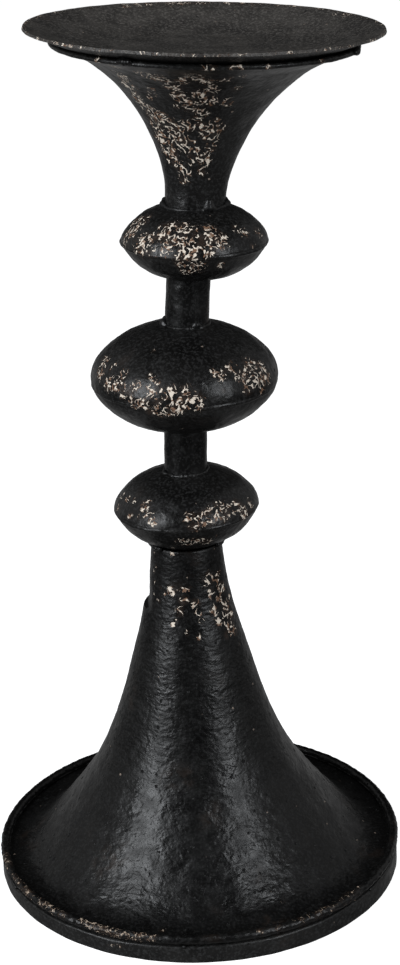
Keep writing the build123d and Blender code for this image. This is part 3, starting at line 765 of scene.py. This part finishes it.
def axis_x(n, z):
    return n["x"] + (z - n["z"]) * math.tan(math.radians(n["tilt"]))


rot, _ = seat(0, 0, LOWER["tilt"])
lower_foot = weld_run("lower_neck_foot_bead", rot, np.array([axis_x(LOWER_NECK, 165.3), 0, 165.35]), 8.3, 1.05,
    [(200, 1.35, 0.0, 0.2), (233, 1.1, 0.0, 0.1), (262, 1.3, 0.3, 0.0), (287, 1.25, 0.3, 0.0),
     (330, 1.1, 0.0, 0.1), (100, 1.3, 0.0, 0.1)], seed=1)
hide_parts("lower_neck_foot_weld")
rot, _ = seat(0, 0, MIDDLE["tilt"])
upper_foot = weld_run("upper_neck_foot_bead", rot, np.array([axis_x(UPPER_NECK, 222.44), 0, 222.5]), 8.3, 1.05,
    [(190, 1.9, 0.6, 0.0), (186, 1.2, 2.2, -0.3), (238, 1.1, 0.0, 0.1), (277, 1.15, 0.1, 0.0), (296, 1.3, 1.5, -0.2),
     (310, 1.1, 0.0, 0.1), (60, 1.3, 0.0, 0.1)], seed=2)
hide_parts("upper_neck_foot_weld")
rot, _ = seat(0, 0, UPPER["tilt"])
uf = 266.5 - 323.86
trumpet_foot = weld_run("trumpet_foot_bead", rot, np.array([9.76 + 0.0877 * uf + 0.0000608 * uf * uf, 0, 266.65]), 11.2, 1.2,
    [(188, 1.8, 0.5, 0.1), (184, 1.2, 2.1, -0.2), (281, 1.2, 0.4, 0.0), (296, 1.7, 1.3, 0.0), (297, 1.35, 3.1, -0.3),
     (352, 1.9, 0.5, 0.1), (356, 1.2, 2.0, -0.2), (70, 1.5, 0.2, 0.1)], seed=3)
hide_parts("trumpet_foot_weld")

rot, at = seat(9.76, 323.86, 2.15)
balls = []
g = np.random.default_rng(12)
for azd, size in ((-119.7, 1.80), (-20.0, 1.75), (72.0, 1.70), (161.0, 1.65)):
    for k in range(5):
        t = math.radians(azd + (k - 2) * 1.0)
        rr = 0.82 * size * (1.0 - 0.12 * abs(k - 2))
        p = rot @ np.array([54.9 * math.cos(t), 54.9 * math.sin(t), 0.45 + 0.15 * g.normal()]) + at
        balls.append((*p, rr))
dish_tacks = blob_mesh("dish_tack_beads", balls, 0.22, 2)
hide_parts("dish_tack_welds")

balls = []
for azd, span in ((-153.0, 34.0), (-14.0, 34.0), (90.0, 40.0)):
    for t in np.radians(np.linspace(azd - span / 2, azd + span / 2, 14)):
        p = BASE.rot @ np.array([13.75 * math.cos(t), 13.75 * math.sin(t), 137.35 - zc]) + BASE.at
        balls.append((*p, 1.12 + 0.12 * g.normal()))
head_tacks = blob_mesh("cone_head_tack_beads", balls, 0.2, 2)
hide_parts("cone_head_tack_welds")


# ------------------------------------------------------------------ finishes
class Graph:
    """Short hand for a material's nodes."""

    def __init__(self, name):
        self.m = bpy.data.materials.new(name)
        self.m.use_nodes = True
        self.t = self.m.node_tree
        self.t.nodes.clear()

    def node(self, kind, **props):
        n = self.t.nodes.new(kind)
        for k, v in props.items():
            setattr(n, k, v)
        return n

    def put(self, socket, value):
        if isinstance(value, bpy.types.NodeSocket):
            self.t.links.new(value, socket)
        elif value is not None:
            socket.default_value = value

    def math(self, op, a, b=None, c=None, clamp=False):
        n = self.node("ShaderNodeMath", operation=op, use_clamp=clamp)
        for s, v in zip(n.inputs, (a, b, c)):
            self.put(s, v)
        return n.outputs[0]

    def vec(self, op, a, b=None, scale=None):
        n = self.node("ShaderNodeVectorMath", operation=op)
        self.put(n.inputs[0], a)
        if b is not None:
            self.put(n.inputs[1], b)
        if scale is not None:
            self.put(n.inputs["Scale"], scale)
        return n.outputs[0]

    def noise(self, at, scale, detail=2.0, rough=0.5, distort=0.0, colour=False):
        n = self.node("ShaderNodeTexNoise")
        self.put(n.inputs["Vector"], at)
        self.put(n.inputs["Scale"], scale)
        self.put(n.inputs["Detail"], detail)
        self.put(n.inputs["Roughness"], rough)
        self.put(n.inputs["Distortion"], distort)
        return n.outputs["Color" if colour else "Fac"]

    def ramp(self, x, a, b, lo=0.0, hi=1.0):
        n = self.node("ShaderNodeMapRange", interpolation_type="SMOOTHSTEP")
        for k, v in (("Value", x), ("From Min", a), ("From Max", b), ("To Min", lo), ("To Max", hi)):
            self.put(n.inputs[k], v)
        return n.outputs["Result"]

    def mix(self, f, a, b):
        n = self.node("ShaderNodeMix", data_type="RGBA")
        self.put(n.inputs[0], f)
        self.put(n.inputs[6], a)
        self.put(n.inputs[7], b)
        return n.outputs[2]

    def attribute(self, name, out="Fac"):
        n = self.node("ShaderNodeAttribute", attribute_type="GEOMETRY", attribute_name=name)
        return n.outputs[out]

    def dots(self, at, scale, radius, share):
        """Round dots in some cells of a scattered lattice: 1 inside, 0 outside."""
        n = self.node("ShaderNodeTexVoronoi", feature="F1")
        self.put(n.inputs["Vector"], at)
        self.put(n.inputs["Scale"], scale)
        pick = self.node("ShaderNodeSeparateColor")
        self.put(pick.inputs[0], n.outputs["Color"])
        there = self.math("LESS_THAN", pick.outputs[0], share)
        size = self.math("MULTIPLY_ADD", pick.outputs[1], radius * 0.6, radius * 0.5)
        inside = self.ramp(self.math("SUBTRACT", n.outputs["Distance"], size), 0.03, -0.03)
        return self.math("MULTIPLY", inside, there)


def paint(name, dark, light, rough, fleck_size=1.9, fleck_bias=0.0, ripple=0.0, pits=0.0, specks=0.0,
          peel=1.0, tarnish=0.0, wrinkle=0.5, dust=0.5, grow=0.0, shade=0.0):
    g = Graph(name)
    out = g.node("ShaderNodeOutputMaterial")
    b = g.node("ShaderNodeBsdfPrincipled")
    at = g.node("ShaderNodeTexCoord").outputs["Object"]
    wear = g.attribute("wear")

    cloud = g.noise(at, 75, 3.0, 0.55)
    blotch = g.noise(at, 260, 2.0, 0.55)
    colour = g.mix(g.ramp(cloud, 0.35, 0.68), (*dark, 1), (*light, 1))
    speckle = g.ramp(g.noise(at, 950, 2.0, 0.65), 0.48, 0.64)
    colour = g.mix(g.math("MULTIPLY", speckle, dust), colour, (*(max(0.048, 2.4 * c) for c in light), 1))
    # warmer, thinner paint near the rubbed places and a little everywhere
    thin = g.math("ADD", g.math("MULTIPLY", wear, 0.45), g.ramp(g.noise(at, 38, 2, 0.5), 0.60, 0.78, 0.0, 0.22 + tarnish))
    colour = g.mix(g.math("MULTIPLY", thin, g.ramp(blotch, 0.42, 0.64), clamp=True), colour, (0.060, 0.038, 0.027, 1))

    # worn spots: thin curled lines and dots, wider and denser where the paint is rubbed more
    if grow:
        xyz = g.node("ShaderNodeSeparateXYZ")
        g.put(xyz.inputs[0], at)
        at0 = at
        at = g.vec("SCALE", at, scale=g.ramp(xyz.outputs[2], 0.03, 0.06, 1.0, 1.0 / grow))
    bend = g.vec("SCALE", g.vec("SUBTRACT", g.noise(at, 300, 1.0, 0.5, colour=True), (0.5, 0.5, 0.5)), scale=0.0042)
    warped = g.vec("ADD", g.vec("MULTIPLY", at, (1, 1, 0.82)), bend)
    line = g.math("ABSOLUTE", g.math("SUBTRACT", g.noise(warped, 1000.0 / fleck_size / 1.75, 0.0, 0.5), 0.5))
    width = g.math("MULTIPLY_ADD", wear, 0.078, -0.004)
    broken = g.noise(g.vec("ADD", at, (0.07, 0.11, 0.03)), 620, 1.0, 0.5)
    gate = g.math("MULTIPLY_ADD", wear, 0.21 + fleck_bias, g.math("SUBTRACT", broken, 0.63))
    dab = g.dots(at, 620, 0.30, g.math("MULTIPLY", wear, 0.24))
    core = g.math("MULTIPLY", g.ramp(g.math("SUBTRACT", width, line), -0.004, 0.010), g.ramp(gate, -0.006, 0.018))
    core = g.math("MAXIMUM", core, dab)
    halo = g.math("MULTIPLY", g.ramp(g.math("SUBTRACT", g.math("ADD", width, 0.035), line), -0.01, 0.02),
                  g.ramp(gate, -0.05, 0.0))
    halo = g.math("MULTIPLY", halo, g.ramp(wear, 0.03, 0.2))
    tone = g.ramp(g.noise(at, 700, 1.5, 0.5), 0.40, 0.56)
    metal = g.mix(tone, (0.22, 0.125, 0.078, 1), (0.95, 0.84, 0.71, 1))
    if grow:
        crust = g.mix(tone, (0.10, 0.062, 0.040, 1), (0.56, 0.45, 0.35, 1))
        metal = g.mix(g.ramp(xyz.outputs[2], 0.02, 0.04), crust, metal)
    colour = g.mix(g.math("MULTIPLY", halo, 0.8), colour, (0.016, 0.008, 0.005, 1))
    colour = g.mix(core, colour, metal)

    if grow:
        at = at0
    # painted shade: where shade is set, faces turned downwards, apart from bare spots, are coloured nearly black as if
    # in shadow
    if shade:
        geo = g.node("ShaderNodeNewGeometry")
        face = g.node("ShaderNodeSeparateXYZ")
        g.put(face.inputs[0], geo.outputs["True Normal"])
        down = g.math("MULTIPLY", g.ramp(face.outputs[2], 0.10, -0.05), g.math("SUBTRACT", 1.0, core))
        colour = g.mix(g.math("MULTIPLY", down, shade), colour, (0.007, 0.0062, 0.0056, 1))
    grain = g.noise(at, 1150, 2.0, 0.55)
    fine = g.noise(at, 4200, 1.0, 0.5)
    height = g.math("MULTIPLY", grain, 0.000060 * peel)
    height = g.math("MULTIPLY_ADD", fine, 0.0000070, height)
    height = g.math("MULTIPLY_ADD", g.noise(at, 420, 2.0, 0.5), 0.000090 * peel, height)
    # thick paint that dried in fine, mostly level wrinkles
    bent = g.vec("ADD", g.vec("MULTIPLY", at, (1, 1, 1.7)), g.vec("SCALE", bend, scale=0.4))
    height = g.math("MULTIPLY_ADD", g.noise(bent, 400, 1.5, 0.5), 0.00037 * wrinkle, height)
    if ripple:
        turn = g.attribute("turn", "Vector")
        rings = g.noise(g.vec("MULTIPLY", turn, (900.0, 1.6, 1.6)), 1.0, 2.0, 0.6)
        height = g.math("MULTIPLY_ADD", rings, 0.000030 * ripple, height)
    # the bare spots lie below the paint's surface
    height = g.math("MULTIPLY_ADD", core, -0.00010, height)
    rough_v = g.ramp(g.noise(at, 190, 3.0, 0.6), 0.3, 0.7, rough - 0.07, rough + 0.09)
    rough_v = g.math("MULTIPLY_ADD", core, 0.16, rough_v)
    if pits:
        p = g.dots(at, 250, 0.17, pits)
        height = g.math("MULTIPLY_ADD", p, -0.00022, height)
        rough_v = g.math("MULTIPLY_ADD", p, 0.5, rough_v)
        colour = g.mix(g.math("MULTIPLY", p, 0.8), colour, (0.004, 0.004, 0.004, 1))
    if specks:
        p = g.dots(g.vec("ADD", at, (0.31, 0.17, 0.05)), 250, 0.11, 5.0 * specks)
        height = g.math("MULTIPLY_ADD", p, 0.00010, height)
        colour = g.mix(g.math("MULTIPLY", p, 0.85), colour, (0.34, 0.27, 0.22, 1))
    bump = g.node("ShaderNodeBump")
    g.put(bump.inputs["Strength"], 1.0)
    g.put(bump.inputs["Distance"], 1.0)
    g.put(bump.inputs["Height"], height)
    g.put(b.inputs["Base Color"], colour)
    g.put(b.inputs["Roughness"], rough_v)
    g.put(b.inputs["Specular IOR Level"], 0.34)
    g.put(b.inputs["Normal"], bump.outputs[0])
    g.t.links.new(b.outputs[0], out.inputs[0])
    return g.m


stem_paint = paint("stem_paint", (0.0042, 0.0040, 0.0039), (0.0085, 0.0081, 0.0078), 0.33, 1.1, 0.0, 0.2, 0.10, 0.015, 1.2, 0.0, 0.32, 0.42)
tube_paint = paint("tube_paint", (0.0042, 0.0041, 0.0041), (0.0085, 0.0083, 0.0082), 0.28, 1.0, 0.0, 0.2, 0.10, 0.015, 0.8, 0.0, 0.12, 0.35)
trumpet_paint = paint("trumpet_paint", (0.0048, 0.0046, 0.0044), (0.0095, 0.0091, 0.0088), 0.35, 1.1, 0.08, 0.2, 0.05, 0.03, 1.4, 0.0, 0.5, 0.5)
base_paint = paint("base_paint", (0.0028, 0.0027, 0.0027), (0.0062, 0.0061, 0.0060), 0.335, 0.85, 0.05, 0.2, 0.75, 0.022, 1.35, 0.05, 0.78, 0.20, 1.45)
# painted light: the pan's black paint is set about three times lighter than the base's, standing in for light thrown up
# from the pale floor onto its skirt
pan_floor_lit_paint = paint("pan_floor_lit_paint", (0.010, 0.0097, 0.0094), (0.019, 0.0184, 0.0178), 0.38, 0.85, 0.0, 0.2, 0.30, 0.03, 1.2, 0.05, 0.4, 0.6)
# painted sheen and painted shade: the dish's black paint is set many times lighter than the other black paints,
# standing in for the sheen on its upper face, and its downward faces are painted nearly black as shade
dish_paint = paint("dish_paint", (0.036, 0.0335, 0.0315), (0.072, 0.0665, 0.0610), 0.44, 0.8, 0.0, 0.3, 0.10, 0.05, 4.2, 0.0, 0.9, 0.6, 0.0, 1.0)
weld_paint = paint("weld_paint", (0.0040, 0.0039, 0.0039), (0.0080, 0.0078, 0.0077), 0.36, 1.4, 0.0, 0.0, 0.0, 0.0, 0.5, 0.0, 0.0, 0.25)


def finish(ob, mat):
    ob.data.materials.clear()
    ob.data.materials.append(mat)
    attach(ob, "root")


for ob in (*lower, *middle, *upper):
    finish(ob, stem_paint)
for ob in (lower_neck, upper_neck):
    finish(ob, tube_paint)
finish(trumpet, trumpet_paint)
finish(base_cone, base_paint)
finish(bottom_pan, pan_floor_lit_paint)
finish(dish, dish_paint)
for ob in (lower_foot, upper_foot, trumpet_foot, dish_tacks, head_tacks):
    finish(ob, weld_paint)
for name in ("lower_neck_head_weld", "upper_neck_head_weld", "bottom_pan_tack_welds"):
    ob = NODES[name]
    if ob.data.materials:
        for i in range(len(ob.data.materials)):
            ob.data.materials[i] = weld_paint
    else:
        ob.data.materials.append(weld_paint)

# ------------------------------------------------------------------ floor, light, camera
me = bpy.data.meshes.new("floor")
h = 9.0
me.from_pydata([(-h, -h, 0), (h, -h, 0), (h, h, 0), (-h, h, 0)], [], [(0, 1, 2, 3)])
floor = bpy.data.objects.new("floor", me)
bpy.context.scene.collection.objects.link(floor)
g = Graph("pale_floor")
out = g.node("ShaderNodeOutputMaterial")
em = g.node("ShaderNodeEmission")
g.put(em.inputs["Color"], (1, 1, 1, 1))
g.put(em.inputs["Strength"], 0.88)
df = g.node("ShaderNodeBsdfDiffuse")
g.put(df.inputs["Color"], (0.86, 0.86, 0.86, 1))
ad = g.node("ShaderNodeAddShader")
g.t.links.new(em.outputs[0], ad.inputs[0])
g.t.links.new(df.outputs[0], ad.inputs[1])
g.t.links.new(ad.outputs[0], out.inputs[0])
me.materials.append(g.m)
floor.visible_glossy = False
floor.visible_diffuse = False

world = bpy.data.worlds.new("studio")
bpy.context.scene.world = world
world.use_nodes = True
wt = world.node_tree
wt.nodes.clear()
wo = wt.nodes.new("ShaderNodeOutputWorld")
path = wt.nodes.new("ShaderNodeLightPath")
white = wt.nodes.new("ShaderNodeBackground")
white.inputs["Color"].default_value = (1, 1, 1, 1)
white.inputs["Strength"].default_value = 1.0
room = wt.nodes.new("ShaderNodeBackground")
room.inputs["Color"].default_value = (1, 1, 1, 1)
co_ = wt.nodes.new("ShaderNodeTexCoord")
sx = wt.nodes.new("ShaderNodeSeparateXYZ")
wt.links.new(co_.outputs["Generated"], sx.inputs[0])
mr = wt.nodes.new("ShaderNodeMapRange")
mr.interpolation_type = "SMOOTHSTEP"
mr.inputs["From Min"].default_value = 0.40
mr.inputs["From Max"].default_value = 0.66
mr.inputs["To Min"].default_value = 0.0
mr.inputs["To Max"].default_value = 0.25
side = wt.nodes.new("ShaderNodeMath")
side.operation = "ABSOLUTE"
wt.links.new(sx.outputs["X"], side.inputs[0])
wt.links.new(side.outputs[0], mr.inputs["Value"])
under = wt.nodes.new("ShaderNodeMapRange")
under.interpolation_type = "SMOOTHSTEP"
under.inputs["From Min"].default_value = -0.30
under.inputs["From Max"].default_value = -0.80
under.inputs["To Min"].default_value = 0.020
under.inputs["To Max"].default_value = 0.20
wt.links.new(sx.outputs["Z"], under.inputs["Value"])
high = wt.nodes.new("ShaderNodeMapRange")
high.interpolation_type = "SMOOTHSTEP"
high.inputs["From Min"].default_value = -0.40
high.inputs["From Max"].default_value = 0.20
wt.links.new(sx.outputs["Z"], high.inputs["Value"])
both = wt.nodes.new("ShaderNodeMath")
both.operation = "MULTIPLY_ADD"
wt.links.new(mr.outputs["Result"], both.inputs[0])
wt.links.new(high.outputs["Result"], both.inputs[1])
wt.links.new(under.outputs["Result"], both.inputs[2])
# the white paper behind, just below the horizon
low_ = wt.nodes.new("ShaderNodeMapRange")
low_.interpolation_type = "SMOOTHSTEP"
low_.inputs["From Min"].default_value = 0.10
low_.inputs["From Max"].default_value = -0.15
wt.links.new(sx.outputs["Z"], low_.inputs["Value"])
back = wt.nodes.new("ShaderNodeMapRange")
back.interpolation_type = "SMOOTHSTEP"
back.inputs["From Min"].default_value = 0.45
back.inputs["From Max"].default_value = 0.90
back.inputs["To Max"].default_value = 0.24
wt.links.new(sx.outputs["Y"], back.inputs["Value"])
all_ = wt.nodes.new("ShaderNodeMath")
all_.operation = "MULTIPLY_ADD"
wt.links.new(low_.outputs["Result"], all_.inputs[0])
wt.links.new(back.outputs["Result"], all_.inputs[1])
wt.links.new(both.outputs[0], all_.inputs[2])
wt.links.new(all_.outputs[0], room.inputs["Strength"])
sw = wt.nodes.new("ShaderNodeMixShader")
wt.links.new(path.outputs["Is Camera Ray"], sw.inputs[0])
wt.links.new(room.outputs[0], sw.inputs[1])
wt.links.new(white.outputs[0], sw.inputs[2])
wt.links.new(sw.outputs[0], wo.inputs["Surface"])


def softbox(name, az_deg, el_deg, dist, w, h_, power, aim=(0, 0, 0.15)):
    """az 0 is towards the camera, positive to its right."""
    a, e = math.radians(az_deg), math.radians(el_deg)
    p = np.array([math.sin(a) * math.cos(e), -math.cos(a) * math.cos(e), math.sin(e)]) * dist + np.array(aim)
    d = bpy.data.lights.new(name, "AREA")
    d.shape = "RECTANGLE"
    d.size, d.size_y = w, h_
    d.energy = power
    d.color = (0.93, 0.965, 1.0)
    ob = bpy.data.objects.new(name, d)
    bpy.context.scene.collection.objects.link(ob)
    z = p - np.array(aim)
    z = z / np.linalg.norm(z)
    x = np.cross((0, 0, 1), z)
    x = x / np.linalg.norm(x)
    y = np.cross(z, x)
    ob.matrix_world = Matrix(((x[0], y[0], z[0], p[0]), (x[1], y[1], z[1], p[1]), (x[2], y[2], z[2], p[2]), (0, 0, 0, 1)))
    ob.visible_camera = False
    return ob


softbox("left_softbox", -54, 24, 1.7, 0.54, 1.45, 22)
softbox("right_softbox", 45, 24, 1.8, 0.36, 1.4, 13)

cam = bpy.data.cameras.new("camera")
cam.sensor_width = 36.0
cam.sensor_fit = "AUTO"
FOCAL, PITCH, ROLL, YAW = 2052.07, 0.360017, -0.026605, -0.005920
cam.lens = FOCAL * 36.0 / 965.0
cam.clip_start, cam.clip_end = 0.02, 60.0
eye = np.array([-0.00023, -0.725535, 0.432729])
cy, sy = math.cos(YAW), math.sin(YAW)
rz = np.array([[cy, -sy, 0], [sy, cy, 0], [0, 0, 1]])
fwd = rz @ np.array([0, math.cos(PITCH), -math.sin(PITCH)])
right = rz @ np.array([1.0, 0, 0])
up = np.cross(right, fwd)
right, up = math.cos(ROLL) * right + math.sin(ROLL) * up, -math.sin(ROLL) * right + math.cos(ROLL) * up
cam_ob = bpy.data.objects.new("camera", cam)
bpy.context.scene.collection.objects.link(cam_ob)
cam_ob.matrix_world = Matrix(((right[0], up[0], -fwd[0], eye[0]), (right[1], up[1], -fwd[1], eye[1]),
                              (right[2], up[2], -fwd[2], eye[2]), (0, 0, 0, 1)))
bpy.context.scene.camera = cam_ob
bpy.context.scene.view_settings.view_transform = "Standard"
bpy.context.scene.view_settings.look = "None"
bpy.context.scene.view_settings.exposure = 0.0
bpy.context.scene.view_settings.gamma = 1.0

bpy.context.view_layer.update()
